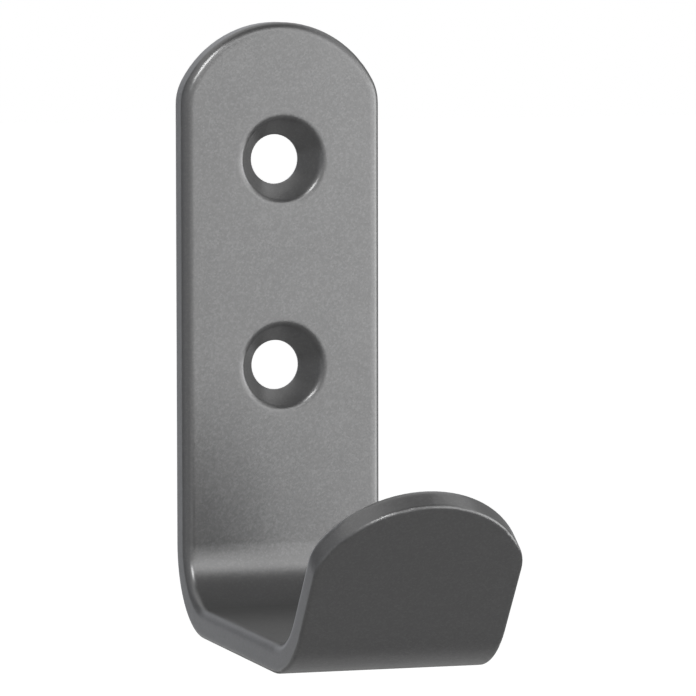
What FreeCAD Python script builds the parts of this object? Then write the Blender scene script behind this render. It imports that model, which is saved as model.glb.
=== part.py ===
import FreeCAD, Part
import math
import os

# A coat hook bent from one length of flat bar.
# It is a plate with two countersunk screw holes, a shelf and an upturned lip.
# The frame is in millimetres with +Z up, and the wall face of the plate lies in Y = 0.
# The hook stands out towards -Y, and the origin is midway between the two screw holes.

# Flat bar
bar_width = 25.0
bar_thickness = 3.5

# Plate
screw_spacing = 25.0
top_above_upper_screw = 16.6
bend_below_lower_screw = 21.4

# Screw holes
screw_hole_diameter = 6.0
countersink_diameter = 10.2
countersink_rim_radius = 0.8
straight_depth_behind_cone = 0.3

# Bends and the straight runs after them
first_bend_inner_radius = 7.0
shelf_fall_angle = 2.0
shelf_length = 27.0
second_bend_inner_radius = 8.0
lip_lean_angle = 35.0
lip_length = 19.2

# Arched ends of the bar, from where the shoulders leave the straight sides up to the crown
arch_height = 9.85
shoulder_radius = 6.0

# Edges, rounder on the plate's front than on the wall side
front_edge_radius = 1.1
back_edge_radius = 0.3
greatest_share_of_thickness = 0.45

# Tools that cut reach this far past the bar
cut_allowance = 5.0

# Edges and curves are told apart within this distance
match_tolerance = 0.01


# Path of the bar

def side_point(out, up):
    """A point of the side view, from the distance out from the wall and the height."""
    return FreeCAD.Vector(0, -out, up)


def heading(angle):
    """Unit direction along the bar after turning by an angle in degrees, which is down at 0."""
    turn = math.radians(angle)
    return side_point(math.sin(turn), -math.cos(turn))


def inward(angle):
    """Unit direction across the bar, from its wall side to its front side."""
    turn = math.radians(angle)
    return side_point(math.cos(turn), math.sin(turn))


def bend_points(start, start_angle, end_angle, inner_radius):
    """Centre, middle and end of a bend on the wall side of the bar."""
    outer_radius = inner_radius + bar_thickness
    centre = start + inward(start_angle) * outer_radius
    middle = centre - inward((start_angle + end_angle) / 2) * outer_radius
    end = centre - inward(end_angle) * outer_radius
    return centre, middle, end


plate_top_z = screw_spacing / 2 + top_above_upper_screw
first_bend_z = -screw_spacing / 2 - bend_below_lower_screw
shelf_angle = 90.0 - shelf_fall_angle
lip_angle = 180.0 - lip_lean_angle

plate_top = side_point(0, plate_top_z)
first_start = side_point(0, first_bend_z)
first_centre, first_middle, first_end = bend_points(
    first_start, 0.0, shelf_angle, first_bend_inner_radius
)
second_start = first_end + heading(shelf_angle) * shelf_length
second_centre, second_middle, second_end = bend_points(
    second_start, shelf_angle, lip_angle, second_bend_inner_radius
)
lip_tip = second_end + heading(lip_angle) * lip_length


def face_of_bar(depth):
    """Edges of the side view along the bar, at a depth in from its wall side."""

    def shifted(point, angle):
        return point + inward(angle) * depth

    def shifted_middle(middle, centre):
        outward = middle - centre
        radius = outward.Length
        return centre + outward * ((radius - depth) / radius)

    return [
        Part.makeLine(shifted(plate_top, 0), shifted(first_start, 0)),
        Part.Arc(
            shifted(first_start, 0),
            shifted_middle(first_middle, first_centre),
            shifted(first_end, shelf_angle),
        ).toShape(),
        Part.makeLine(shifted(first_end, shelf_angle), shifted(second_start, shelf_angle)),
        Part.Arc(
            shifted(second_start, shelf_angle),
            shifted_middle(second_middle, second_centre),
            shifted(second_end, lip_angle),
        ).toShape(),
        Part.makeLine(shifted(second_end, lip_angle), shifted(lip_tip, lip_angle)),
    ]


def bent_bar():
    """The bar with square ends, as its side view pushed across the width."""
    wall_side = face_of_bar(0)
    front_side = face_of_bar(bar_thickness)
    top_end = Part.makeLine(plate_top, plate_top + inward(0) * bar_thickness)
    lip_end = Part.makeLine(lip_tip, lip_tip + inward(lip_angle) * bar_thickness)
    outline = Part.Wire(Part.__sortEdges__(wall_side + front_side + [top_end, lip_end]))
    side_view = Part.Face(outline)
    side_view.translate(FreeCAD.Vector(-bar_width / 2, 0, 0))
    return side_view.extrude(FreeCAD.Vector(bar_width, 0, 0))


# Arched ends

def arch_cutter():
    """The waste around an arched end, with the crown at the origin and the bar below it."""
    half = bar_width / 2
    shoulder_x = half - shoulder_radius
    shoulder_z = -arch_height
    # The crown circle passes through the origin and runs on smoothly into both shoulders
    crown_radius = (shoulder_x ** 2 + arch_height ** 2 - shoulder_radius ** 2) / (
        2 * (arch_height - shoulder_radius)
    )
    crown_centre_z = -crown_radius
    join_angle = math.atan2(shoulder_z - crown_centre_z, shoulder_x)

    def round_point(centre_x, centre_z, radius, angle, side):
        x = centre_x + radius * math.cos(angle)
        z = centre_z + radius * math.sin(angle)
        return FreeCAD.Vector(side * x, 0, z)

    def shoulder(side):
        return Part.Arc(
            round_point(shoulder_x, shoulder_z, shoulder_radius, 0, side),
            round_point(shoulder_x, shoulder_z, shoulder_radius, join_angle / 2, side),
            round_point(shoulder_x, shoulder_z, shoulder_radius, join_angle, side),
        ).toShape()

    crown = Part.Arc(
        round_point(0, crown_centre_z, crown_radius, join_angle, 1),
        FreeCAD.Vector(0, 0, 0),
        round_point(0, crown_centre_z, crown_radius, join_angle, -1),
    ).toShape()
    spring_right = FreeCAD.Vector(half, 0, shoulder_z)
    spring_left = FreeCAD.Vector(-half, 0, shoulder_z)
    reach = half + cut_allowance
    waste_corners = [
        spring_right,
        FreeCAD.Vector(reach, 0, shoulder_z),
        FreeCAD.Vector(reach, 0, cut_allowance),
        FreeCAD.Vector(-reach, 0, cut_allowance),
        FreeCAD.Vector(-reach, 0, shoulder_z),
        spring_left,
    ]
    waste_edges = [Part.makeLine(a, b) for a, b in zip(waste_corners, waste_corners[1:])]
    outline = Part.Wire(Part.__sortEdges__([crown, shoulder(1), shoulder(-1)] + waste_edges))
    half_depth = bar_thickness + cut_allowance
    waste = Part.Face(outline).extrude(FreeCAD.Vector(0, 2 * half_depth, 0))
    waste.translate(FreeCAD.Vector(0, -half_depth, 0))
    return waste


def trimmed_ends(bar):
    """The bar with an arch at the top of the plate and one at the tip of the lip."""
    plate_waste = arch_cutter()
    plate_waste.translate(plate_top)
    lip_waste = arch_cutter()
    lip_waste.rotate(FreeCAD.Vector(0, 0, 0), FreeCAD.Vector(1, 0, 0), lip_lean_angle)
    lip_waste.translate(lip_tip)
    return bar.cut(plate_waste).cut(lip_waste)


# Edges

def outline_edges(bar, depth):
    """Edges of the bar's outline that lie at a depth in from its wall side."""
    face_line = Part.Wire(face_of_bar(depth))
    found = []
    for edge in bar.Edges:
        middle = edge.valueAt((edge.FirstParameter + edge.LastParameter) / 2)
        in_side_view = Part.Vertex(FreeCAD.Vector(0, middle.y, middle.z))
        on_face = in_side_view.distToShape(face_line)[0] < match_tolerance
        crosses_bar = edge.BoundBox.YLength + edge.BoundBox.ZLength < match_tolerance
        if on_face and not crosses_bar:
            found.append(edge)
    return found


def softened_edges(bar):
    """The bar with both sides of its outline rounded."""
    greatest_radius = greatest_share_of_thickness * bar_thickness
    front_radius = min(front_edge_radius, greatest_radius)
    back_radius = min(back_edge_radius, greatest_radius)
    bar = bar.makeFillet(front_radius, outline_edges(bar, bar_thickness))
    return bar.makeFillet(back_radius, outline_edges(bar, 0))


# Screw holes

def countersunk_hole(height):
    """The waste of one screw hole, whose cone opens at the plate's front face."""
    hole_radius = screw_hole_diameter / 2
    rim_radius = countersink_diameter / 2
    front = bar_thickness
    profile = Part.makePolygon([
        side_point(-cut_allowance, 0),
        side_point(-cut_allowance, hole_radius),
        side_point(straight_depth_behind_cone, hole_radius),
        side_point(front, rim_radius),
        side_point(front + cut_allowance, rim_radius),
        side_point(front + cut_allowance, 0),
        side_point(-cut_allowance, 0),
    ])
    waste = Part.Face(profile).revolve(FreeCAD.Vector(0, 0, 0), FreeCAD.Vector(0, 1, 0), 360)
    waste.translate(FreeCAD.Vector(0, 0, height))
    return waste


def drilled(bar):
    """The bar with both screw holes, and their rims rounded."""
    for height in (screw_spacing / 2, -screw_spacing / 2):
        bar = bar.cut(countersunk_hole(height))
    rims = [
        edge
        for edge in bar.Edges
        if isinstance(edge.Curve, Part.Circle)
        and abs(edge.Curve.Radius - countersink_diameter / 2) < match_tolerance
        and abs(edge.Curve.Center.y + bar_thickness) < match_tolerance
        and abs(edge.Curve.Center.x) < match_tolerance
    ]
    return bar.makeFillet(countersink_rim_radius, rims)


hook = drilled(softened_edges(trimmed_ends(bent_bar())))

os.makedirs("parts", exist_ok=True)
hook.exportStep("parts/hook.step")
print("hook", "valid", hook.isValid(), "solids", len(hook.Solids), "volume", round(hook.Volume, 1))
size = hook.optimalBoundingBox(False, False)
print("width", round(size.XLength, 2), "depth", round(size.YLength, 2), "height", round(size.ZLength, 2))
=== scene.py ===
import math

import bpy
from bpy.props import FloatProperty, FloatVectorProperty, PointerProperty
from mathutils import Matrix, Vector


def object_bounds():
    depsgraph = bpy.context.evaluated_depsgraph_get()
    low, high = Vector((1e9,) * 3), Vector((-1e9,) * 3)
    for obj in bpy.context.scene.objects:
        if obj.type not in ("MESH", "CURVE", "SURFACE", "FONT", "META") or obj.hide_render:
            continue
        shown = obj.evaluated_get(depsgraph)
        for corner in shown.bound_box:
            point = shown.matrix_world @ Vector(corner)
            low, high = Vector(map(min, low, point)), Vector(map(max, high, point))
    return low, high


bl_info = {
    "name": "Bent Bar Wall Hook",
    "version": (1, 0, 0),
    "blender": (4, 5, 0),
    "location": "3D View > Sidebar > Wall Hook",
    "description": "Coats a wall hook bent from flat bar and lights it on a pale stage",
    "category": "Object",
}

# The solid model, and the box that it fills
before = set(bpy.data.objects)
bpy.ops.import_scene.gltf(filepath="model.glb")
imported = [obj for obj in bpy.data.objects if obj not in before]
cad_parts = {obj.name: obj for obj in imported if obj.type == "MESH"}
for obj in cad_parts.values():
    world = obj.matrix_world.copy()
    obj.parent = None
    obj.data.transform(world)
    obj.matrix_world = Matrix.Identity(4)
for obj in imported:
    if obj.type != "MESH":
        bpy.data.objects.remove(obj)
bpy.context.view_layer.update()
solid_low, solid_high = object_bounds()


# Settings

class HookCoatSettings(bpy.types.PropertyGroup):
    """Sizes and colours of the powder coat on the hook."""

    coat_colour: FloatVectorProperty(
        name="Coat",
        description="Colour of the coat where it is plainly lit",
        subtype="COLOR",
        size=3,
        min=0.0,
        max=1.0,
        default=(0.135, 0.135, 0.1355),
    )
    metal_share: FloatProperty(
        name="Metal share",
        description="How much of the coat's look comes from metal flakes",
        subtype="FACTOR",
        min=0.0,
        max=1.0,
        default=0.65,
    )
    roughness: FloatProperty(
        name="Roughness",
        description="Spread of the coat's sheen",
        subtype="FACTOR",
        min=0.0,
        max=1.0,
        default=0.32,
    )
    sheen_change: FloatProperty(
        name="Sheen change",
        description="How far the roughness strays to either side from place to place",
        subtype="FACTOR",
        min=0.0,
        max=1.0,
        default=0.04,
    )
    flake_size: FloatProperty(
        name="Flake size",
        description="Width of one metal flake in the coat",
        subtype="DISTANCE",
        unit="LENGTH",
        min=0.00002,
        default=0.0002,
        precision=5,
    )
    flake_tilt: FloatProperty(
        name="Flake tilt",
        description="How far the flakes lean out of the surface",
        min=0.0,
        max=1.0,
        default=0.024,
    )
    flake_contrast: FloatProperty(
        name="Flake contrast",
        description="How much brighter than the dull flakes the few bright ones are",
        subtype="FACTOR",
        min=0.0,
        max=1.0,
        default=0.12,
    )
    peel_size: FloatProperty(
        name="Peel size",
        description="Width of the shallow waves left where the powder flowed out",
        subtype="DISTANCE",
        unit="LENGTH",
        min=0.0001,
        default=0.0011,
        precision=5,
    )
    peel_height: FloatProperty(
        name="Peel height",
        description="Height of the shallow waves",
        subtype="DISTANCE",
        unit="LENGTH",
        min=0.0,
        default=0.000006,
        precision=7,
    )
    edge_flow: FloatProperty(
        name="Edge flow",
        description="How far the powder's soft rounding reaches in from the edges",
        subtype="DISTANCE",
        unit="LENGTH",
        min=0.0,
        default=0.0006,
        precision=5,
    )


class HookStageSettings(bpy.types.PropertyGroup):
    """Sizes, colours and lamps of the stage."""

    floor_colour: FloatVectorProperty(
        name="Floor",
        description="Colour of the floor",
        subtype="COLOR",
        size=3,
        min=0.0,
        max=1.0,
        default=(0.8, 0.8, 0.8),
    )
    floor_drop: FloatProperty(
        name="Floor drop",
        description="Height of the hook's lowest point above the floor",
        subtype="DISTANCE",
        unit="LENGTH",
        min=0.0,
        default=0.12,
    )
    floor_width: FloatProperty(
        name="Floor width",
        description="Width and depth of the floor",
        subtype="DISTANCE",
        unit="LENGTH",
        min=1.0,
        default=12.0,
    )
    front_power: FloatProperty(
        name="Front softbox",
        description="Power of the tall softbox in front, to the right",
        subtype="POWER",
        unit="POWER",
        min=0.0,
        default=1.352,
    )
    side_power: FloatProperty(
        name="Side softbox",
        description="Power of the softbox at the right, which lights the right edge",
        subtype="POWER",
        unit="POWER",
        min=0.0,
        default=2.143,
    )
    upper_power: FloatProperty(
        name="Upper softbox",
        description="Power of the softbox above the front one",
        subtype="POWER",
        unit="POWER",
        min=0.0,
        default=0.594,
    )
    key_power: FloatProperty(
        name="Key lamp",
        description="Power of the small key lamp high on the left, which makes the crisp glints",
        subtype="POWER",
        unit="POWER",
        min=0.0,
        default=1.6,
    )
    fill_strength: FloatProperty(
        name="Fill light",
        description="Strength of the white surround as a light on the hook",
        min=0.0,
        default=0.45,
    )
    floor_glow: FloatProperty(
        name="Floor glow",
        description="Strength added to the floor where it is seen directly, so that it reads as white",
        min=0.0,
        default=0.66,
    )
    # The card tint colours the painted light and shade that the glowing cards put into the hook's
    # reflections
    card_tint: FloatVectorProperty(
        name="Card tint",
        description="Colour that the grey cards lean to",
        subtype="COLOR",
        size=3,
        min=0.0,
        max=1.1,
        default=(0.98, 1.0, 1.05),
    )
    camera_turn: FloatProperty(
        name="Camera turn",
        description="Direction of the camera to the left of straight ahead",
        subtype="ANGLE",
        unit="ROTATION",
        default=math.radians(18.175),
    )
    camera_distance: FloatProperty(
        name="Camera distance",
        description="Level distance from the camera to the middle of the wall face",
        subtype="DISTANCE",
        unit="LENGTH",
        min=0.1,
        default=0.699867,
    )
    camera_height: FloatProperty(
        name="Camera height",
        description="Height of the camera above the point midway between the screw holes",
        subtype="DISTANCE",
        unit="LENGTH",
        default=0.037324,
    )
    aim_right: FloatProperty(
        name="Aim right",
        description="Turn of the camera to the right of the hook's middle",
        subtype="ANGLE",
        unit="ROTATION",
        default=math.radians(0.7349),
    )
    aim_down: FloatProperty(
        name="Aim down",
        description="Tilt of the camera below level",
        subtype="ANGLE",
        unit="ROTATION",
        default=math.radians(3.911),
    )
    camera_roll: FloatProperty(
        name="Camera roll",
        description="Turn of the camera about its own axis",
        subtype="ANGLE",
        unit="ROTATION",
        default=math.radians(-0.108),
    )
    lens_length: FloatProperty(
        name="Lens",
        description="Focal length of the camera on a 36 mm sensor, in millimetres",
        subtype="DISTANCE_CAMERA",
        min=1.0,
        default=298.38,
    )


# Each softbox: name, turn to the right and rise in degrees, distance, width, height, power setting
SOFTBOXES = (
    ("front_softbox", 33.0, -4.0, 0.60, 0.36, 0.50, "front_power"),
    ("side_softbox", 72.0, 0.0, 0.60, 0.40, 0.50, "side_power"),
    ("upper_softbox", 12.0, 34.0, 0.60, 0.35, 0.25, "upper_power"),
    ("key_lamp", -34.0, 41.0, 0.60, 0.04, 0.14, "key_power"),
)

# Each glowing card, seen only in the hook's reflections, where its fixed glow is painted light or
# shade of the surround: name, turn to the right and rise in degrees, distance, width, height, glow
# level, and its share of the card tint
REFLECTION_GLOW_CARDS = (
    ("card_above", 15.0, 73.5, 0.45, 0.50, 0.46, 0.0, 0.0),
    ("card_below", 0.0, -89.0, 0.135, 0.32, 0.30, 0.24, 0.0),
    ("card_below_behind", 180.0, -60.0, 0.125, 0.32, 0.10, 0.46, 0.0),
    ("card_under_stage", 0.0, -89.0, 0.150, 1.00, 1.00, 0.07, 0.0),
    ("card_front_left", -50.0, 0.0, 0.65, 0.72, 1.00, 0.61, 0.5),
    ("card_left", -103.0, 0.0, 0.65, 0.52, 1.00, 0.49, 1.0),
    ("card_behind_left", -143.0, 0.0, 0.65, 0.39, 1.00, 0.21, 1.0),
    ("card_behind", 175.0, 6.0, 0.65, 0.75, 0.60, 0.79, 1.0),
    ("card_behind_right", 125.0, 0.0, 0.65, 0.55, 0.90, 0.28, 0.0),
)


# The higher this is, the fewer the bright flakes
BRIGHT_FLAKE_RARITY = 2.5

# The wide, faint tone changes this many times as often as the shallow waves
TONE_TO_WAVES = 0.22

# Directions looked along for each point, when the edges are rounded
EDGE_SAMPLES = 8

# The width that the lens length is given for, in millimetres
SENSOR_WIDTH = 36.0

# Nearest and farthest distances that the camera sees
NEAR_LIMIT = 0.01
FAR_LIMIT = 100.0


# Node helpers

def new_material(name):
    """An empty node material, and its node tree."""
    material = bpy.data.materials.new(name)
    material.use_nodes = True
    material.node_tree.nodes.clear()
    return material, material.node_tree


def add_node(tree, kind, place, **values):
    """A node of that kind at a place in the tree, with its settings."""
    node = tree.nodes.new(kind)
    node.location = place
    for name, value in values.items():
        setattr(node, name, value)
    return node


def set_inputs(node, **values):
    """Sets a node's inputs by name, with underscores for spaces."""
    for name, value in values.items():
        node.inputs[name.replace("_", " ")].default_value = value
    return node


def new_group(name, inputs, outputs):
    """A shader node group with named sockets, and its input and output nodes."""
    tree = bpy.data.node_groups.new(name, "ShaderNodeTree")
    for socket_name, kind, default in inputs:
        socket = tree.interface.new_socket(socket_name, in_out="INPUT", socket_type=kind)
        if default is not None:
            socket.default_value = default
    for socket_name, kind in outputs:
        tree.interface.new_socket(socket_name, in_out="OUTPUT", socket_type=kind)
    source = add_node(tree, "NodeGroupInput", (-1000, 0))
    result = add_node(tree, "NodeGroupOutput", (600, 0))
    return tree, source, result


def colour4(colour):
    """A colour with full alpha, as the sockets take it."""
    return (*colour, 1.0)


# Effects

def flake_group():
    """Metal flakes: a normal that leans from flake to flake, and a brightness that few have."""
    tree, source, result = new_group(
        "Metal Flakes",
        inputs=[
            ("Position", "NodeSocketVector", None),
            ("Normal", "NodeSocketVector", None),
            ("Size", "NodeSocketFloat", 0.0002),
            ("Tilt", "NodeSocketFloat", 0.024),
        ],
        outputs=[
            ("Normal", "NodeSocketVector"),
            ("Brightness", "NodeSocketFloat"),
        ],
    )
    link = tree.links.new
    scale = add_node(tree, "ShaderNodeMath", (-800, -200), operation="DIVIDE")
    scale.inputs[0].default_value = 1.0
    link(source.outputs["Size"], scale.inputs[1])
    cells = add_node(
        tree, "ShaderNodeTexVoronoi", (-600, 0), voronoi_dimensions="3D", feature="F1"
    )
    link(source.outputs["Position"], cells.inputs["Vector"])
    link(scale.outputs[0], cells.inputs["Scale"])
    centred = add_node(tree, "ShaderNodeVectorMath", (-400, 0), operation="SUBTRACT")
    centred.inputs[1].default_value = (0.5, 0.5, 0.5)
    link(cells.outputs["Color"], centred.inputs[0])
    lean = add_node(tree, "ShaderNodeVectorMath", (-200, 0), operation="SCALE")
    link(centred.outputs[0], lean.inputs[0])
    link(source.outputs["Tilt"], lean.inputs["Scale"])
    tilted = add_node(tree, "ShaderNodeVectorMath", (0, 0), operation="ADD")
    link(source.outputs["Normal"], tilted.inputs[0])
    link(lean.outputs[0], tilted.inputs[1])
    unit = add_node(tree, "ShaderNodeVectorMath", (200, 0), operation="NORMALIZE")
    link(tilted.outputs[0], unit.inputs[0])
    link(unit.outputs[0], result.inputs["Normal"])
    split = add_node(tree, "ShaderNodeSeparateColor", (-400, -300))
    link(cells.outputs["Color"], split.inputs[0])
    rare = add_node(tree, "ShaderNodeMath", (-100, -300), operation="POWER")
    rare.inputs[1].default_value = BRIGHT_FLAKE_RARITY
    link(split.outputs[0], rare.inputs[0])
    link(rare.outputs[0], result.inputs["Brightness"])
    return tree


def peel_group():
    """The shallow waves of a powder coat, as a height and a wide, faint tone."""
    tree, source, result = new_group(
        "Powder Waves",
        inputs=[
            ("Position", "NodeSocketVector", None),
            ("Size", "NodeSocketFloat", 0.001),
        ],
        outputs=[("Height", "NodeSocketFloat"), ("Tone", "NodeSocketFloat")],
    )
    link = tree.links.new
    scale = add_node(tree, "ShaderNodeMath", (-800, -200), operation="DIVIDE")
    scale.inputs[0].default_value = 1.0
    link(source.outputs["Size"], scale.inputs[1])
    waves = add_node(tree, "ShaderNodeTexNoise", (-500, 100), noise_dimensions="3D")
    set_inputs(waves, Detail=2.0, Roughness=0.5)
    link(source.outputs["Position"], waves.inputs["Vector"])
    link(scale.outputs[0], waves.inputs["Scale"])
    link(waves.outputs[0], result.inputs["Height"])
    wide = add_node(tree, "ShaderNodeMath", (-700, -400), operation="MULTIPLY")
    wide.inputs[1].default_value = TONE_TO_WAVES
    link(scale.outputs[0], wide.inputs[0])
    tone = add_node(tree, "ShaderNodeTexNoise", (-500, -400), noise_dimensions="3D")
    set_inputs(tone, Detail=3.0, Roughness=0.55)
    link(source.outputs["Position"], tone.inputs["Vector"])
    link(wide.outputs[0], tone.inputs["Scale"])
    link(tone.outputs[0], result.inputs["Tone"])
    return tree


def remapped(tree, value, low, high, place):
    """A value from 0 to 1 spread between low and high."""
    node = add_node(tree, "ShaderNodeMapRange", place)
    set_inputs(node, From_Min=0.0, From_Max=1.0, To_Min=low, To_Max=high)
    tree.links.new(value, node.inputs["Value"])
    return node.outputs[0]


# Materials

def coat_material(settings):
    """Dark grey powder coat with fine metal flakes."""
    material, tree = new_material("flaked_grey_coat")
    link = tree.links.new
    place = add_node(tree, "ShaderNodeTexCoord", (-1200, 0))

    waves = add_node(tree, "ShaderNodeGroup", (-900, -200), node_tree=peel_group())
    waves.inputs["Size"].default_value = settings.peel_size
    link(place.outputs["Object"], waves.inputs["Position"])
    bump = add_node(tree, "ShaderNodeBump", (-650, -300))
    set_inputs(bump, Strength=1.0, Distance=settings.peel_height)
    link(waves.outputs["Height"], bump.inputs["Height"])
    rounded = add_node(tree, "ShaderNodeBevel", (-900, -500), samples=EDGE_SAMPLES)
    set_inputs(rounded, Radius=settings.edge_flow)
    link(rounded.outputs["Normal"], bump.inputs["Normal"])

    flakes = add_node(tree, "ShaderNodeGroup", (-400, -200), node_tree=flake_group())
    set_inputs(flakes, Size=settings.flake_size, Tilt=settings.flake_tilt)
    link(place.outputs["Object"], flakes.inputs["Position"])
    link(bump.outputs["Normal"], flakes.inputs["Normal"])

    mean_brightness = 1.0 / (1.0 + BRIGHT_FLAKE_RARITY)
    dull_level = 1.0 - settings.flake_contrast * mean_brightness
    bright_level = dull_level + settings.flake_contrast
    dull = [channel * dull_level for channel in settings.coat_colour]
    bright = [channel * bright_level for channel in settings.coat_colour]
    tint = add_node(tree, "ShaderNodeMix", (-150, 200), data_type="RGBA")
    colour_inputs = [socket for socket in tint.inputs if socket.type == "RGBA"]
    colour_inputs[0].default_value = colour4(dull)
    colour_inputs[1].default_value = colour4(bright)
    link(flakes.outputs["Brightness"], tint.inputs["Factor"])

    shader = add_node(tree, "ShaderNodeBsdfPrincipled", (200, 0))
    set_inputs(shader, Metallic=settings.metal_share)
    colour_result = [socket for socket in tint.outputs if socket.type == "RGBA"][0]
    link(colour_result, shader.inputs["Base Color"])
    sheen = remapped(
        tree,
        waves.outputs["Tone"],
        settings.roughness - settings.sheen_change,
        settings.roughness + settings.sheen_change,
        (-150, -100),
    )
    link(sheen, shader.inputs["Roughness"])
    link(flakes.outputs["Normal"], shader.inputs["Normal"])
    output = add_node(tree, "ShaderNodeOutputMaterial", (500, 0))
    link(shader.outputs[0], output.inputs["Surface"])
    return material


def seen_directly(tree, place):
    """A value that is 1 for camera, glossy and transmission rays and 0 for the rest."""
    x, y = place
    path = add_node(tree, "ShaderNodeLightPath", (x, y))
    first = add_node(tree, "ShaderNodeMath", (x + 200, y), operation="MAXIMUM")
    second = add_node(tree, "ShaderNodeMath", (x + 400, y), operation="MAXIMUM")
    tree.links.new(path.outputs["Is Camera Ray"], first.inputs[0])
    tree.links.new(path.outputs["Is Glossy Ray"], first.inputs[1])
    tree.links.new(first.outputs[0], second.inputs[0])
    tree.links.new(path.outputs["Is Transmission Ray"], second.inputs[1])
    return second.outputs[0]


def floor_material(settings):
    """Pale matt floor that reads as white to the eye and still takes the shadow."""
    material, tree = new_material("pale_floor")
    link = tree.links.new
    matt = add_node(tree, "ShaderNodeBsdfDiffuse", (0, 100))
    matt.inputs["Color"].default_value = colour4(settings.floor_colour)
    lift = add_node(tree, "ShaderNodeMath", (-200, -100), operation="MULTIPLY")
    lift.inputs[1].default_value = settings.floor_glow
    link(seen_directly(tree, (-800, -100)), lift.inputs[0])
    glow = add_node(tree, "ShaderNodeEmission", (0, -100))
    link(lift.outputs[0], glow.inputs["Strength"])
    both = add_node(tree, "ShaderNodeAddShader", (200, 0))
    link(matt.outputs[0], both.inputs[0])
    link(glow.outputs[0], both.inputs[1])
    output = add_node(tree, "ShaderNodeOutputMaterial", (400, 0))
    link(both.outputs[0], output.inputs["Surface"])
    return material


# Stage pieces

def white_world(settings):
    """A white surround for the camera and the reflections, and a softer one for the fill light."""
    world = bpy.data.worlds.new("white_surround")
    bpy.context.scene.world = world
    world.use_nodes = True
    tree = world.node_tree
    tree.nodes.clear()
    direct = seen_directly(tree, (-900, 0))
    level = remapped(tree, direct, settings.fill_strength, 1.0, (-250, 0))
    surround = add_node(tree, "ShaderNodeBackground", (0, 0))
    surround.inputs["Color"].default_value = (1.0, 1.0, 1.0, 1.0)
    tree.links.new(level, surround.inputs["Strength"])
    output = add_node(tree, "ShaderNodeOutputWorld", (250, 0))
    tree.links.new(surround.outputs[0], output.inputs["Surface"])


def facing_hook(thing, turn, rise, distance):
    """Puts a thing at a distance from the hook in a direction given in degrees, turned to the hook."""
    across = math.radians(turn)
    above = math.radians(rise)
    outward = Vector((
        math.sin(across) * math.cos(above),
        -math.cos(across) * math.cos(above),
        math.sin(above),
    ))
    thing.location = (solid_low + solid_high) / 2 + outward * distance
    thing.rotation_mode = "QUATERNION"
    thing.rotation_quaternion = (-outward).to_track_quat("-Z", "Y")
    thing.visible_camera = False


def softbox(name, turn, rise, distance, width, height, power):
    """A softbox that lights the hook and stays out of the camera's sight."""
    lamp = bpy.data.lights.new(name, "AREA")
    lamp.shape = "RECTANGLE"
    lamp.size = width
    lamp.size_y = height
    lamp.energy = power
    box = bpy.data.objects.new(name, lamp)
    bpy.context.scene.collection.objects.link(box)
    facing_hook(box, turn, rise, distance)


def reflection_glow_card(name, turn, rise, distance, width, height, grey, tint_share, tint):
    """A card that glows at a fixed level and that only the hook's reflections see, as painted light or
    shade in them.
    """
    # The glow colour is painted light or shade for the hook's reflections, not a lit grey surface
    colour = [grey * (1.0 + tint_share * (channel - 1.0)) for channel in tint]
    material, tree = new_material(name)
    glow = add_node(tree, "ShaderNodeEmission", (0, 0))
    glow.inputs["Color"].default_value = colour4(colour)
    output = add_node(tree, "ShaderNodeOutputMaterial", (200, 0))
    tree.links.new(glow.outputs[0], output.inputs["Surface"])
    mesh = bpy.data.meshes.new(name)
    x, y = width / 2, height / 2
    mesh.from_pydata([(-x, -y, 0), (x, -y, 0), (x, y, 0), (-x, y, 0)], [], [(0, 1, 2, 3)])
    mesh.materials.append(material)
    card = bpy.data.objects.new(name, mesh)
    bpy.context.scene.collection.objects.link(card)
    facing_hook(card, turn, rise, distance)
    card.visible_diffuse = False
    card.visible_transmission = False
    card.visible_volume_scatter = False
    card.visible_shadow = False


def floor_plane(settings):
    """A wide floor under the hook."""
    half = settings.floor_width / 2
    level = solid_low.z - settings.floor_drop
    mesh = bpy.data.meshes.new("floor")
    corners = [(-half, -half, level), (half, -half, level), (half, half, level), (-half, half, level)]
    mesh.from_pydata(corners, [], [(0, 1, 2, 3)])
    mesh.materials.append(floor_material(settings))
    floor = bpy.data.objects.new("floor", mesh)
    bpy.context.scene.collection.objects.link(floor)


def photo_camera(settings):
    """The camera at the viewing angle of the picture."""
    turn = settings.camera_turn
    heading = turn + settings.aim_right
    down = settings.aim_down
    forward = Vector((
        math.sin(heading) * math.cos(down),
        math.cos(heading) * math.cos(down),
        -math.sin(down),
    ))
    level_right = Vector((math.cos(heading), -math.sin(heading), 0.0))
    level_up = level_right.cross(forward)
    roll = settings.camera_roll
    right = level_right * math.cos(roll) + level_up * math.sin(roll)
    up = level_up * math.cos(roll) - level_right * math.sin(roll)
    data = bpy.data.cameras.new("photo_camera")
    data.sensor_width = SENSOR_WIDTH
    data.lens = settings.lens_length
    data.clip_start = NEAR_LIMIT
    data.clip_end = FAR_LIMIT
    camera = bpy.data.objects.new("photo_camera", data)
    bpy.context.scene.collection.objects.link(camera)
    axes = Matrix((right, up, -forward)).transposed()
    camera.matrix_world = Matrix.Translation((
        -math.sin(turn) * settings.camera_distance,
        -math.cos(turn) * settings.camera_distance,
        settings.camera_height,
    )) @ axes.to_4x4()
    bpy.context.scene.camera = camera


# Operators

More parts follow.
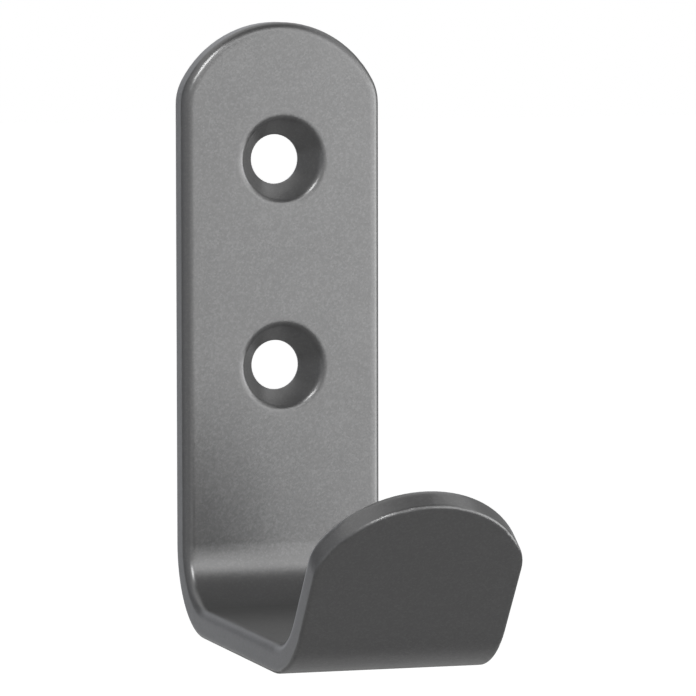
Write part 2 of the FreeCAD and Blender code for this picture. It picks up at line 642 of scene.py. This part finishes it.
class WALLHOOK_OT_coat_bar(bpy.types.Operator):
    """Coats the bent bar with flaked grey powder"""

    bl_idname = "wallhook.coat_bar"
    bl_label = "Coat the Bent Bar"

    def execute(self, context):
        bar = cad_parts["hook"]
        if not bar.material_slots:
            raise RuntimeError("The bar has no material slot to coat")
        material = coat_material(context.scene.wallhook_coat)
        for slot in bar.material_slots:
            slot.material = material
        return {"FINISHED"}


class WALLHOOK_OT_set_stage(bpy.types.Operator):
    """Sets the floor, the softboxes, the white surround and the camera"""

    bl_idname = "wallhook.set_stage"
    bl_label = "Set the Stage"

    def execute(self, context):
        settings = context.scene.wallhook_stage
        context.scene.view_settings.view_transform = "Standard"
        white_world(settings)
        floor_plane(settings)
        for *measures, power in SOFTBOXES:
            softbox(*measures, getattr(settings, power))
        for measures in REFLECTION_GLOW_CARDS:
            reflection_glow_card(*measures, settings.card_tint)
        photo_camera(settings)
        return {"FINISHED"}


# Sidebar

class WALLHOOK_PT_sidebar(bpy.types.Panel):
    """Buttons and settings of the wall hook"""

    bl_idname = "WALLHOOK_PT_sidebar"
    bl_label = "Wall Hook"
    bl_space_type = "VIEW_3D"
    bl_region_type = "UI"
    bl_category = "Wall Hook"

    def draw(self, context):
        layout = self.layout
        for heading, settings, button in (
            ("Coat", context.scene.wallhook_coat, WALLHOOK_OT_coat_bar),
            ("Stage", context.scene.wallhook_stage, WALLHOOK_OT_set_stage),
        ):
            box = layout.box()
            box.label(text=heading)
            for name in settings.bl_rna.properties.keys():
                if name not in ("rna_type", "name"):
                    box.prop(settings, name)
            box.operator(button.bl_idname)


CLASSES = (
    HookCoatSettings,
    HookStageSettings,
    WALLHOOK_OT_coat_bar,
    WALLHOOK_OT_set_stage,
    WALLHOOK_PT_sidebar,
)


def register():
    for cls in CLASSES:
        bpy.utils.register_class(cls)
    bpy.types.Scene.wallhook_coat = PointerProperty(type=HookCoatSettings)
    bpy.types.Scene.wallhook_stage = PointerProperty(type=HookStageSettings)


def unregister():
    del bpy.types.Scene.wallhook_stage
    del bpy.types.Scene.wallhook_coat
    for cls in reversed(CLASSES):
        bpy.utils.unregister_class(cls)


def write_sizes():
    """Updates the view layer."""
    bpy.context.view_layer.update()


def main():
    register()
    bpy.ops.wallhook.coat_bar()
    bpy.ops.wallhook.set_stage()
    write_sizes()


if __name__ == "__main__":
    main()
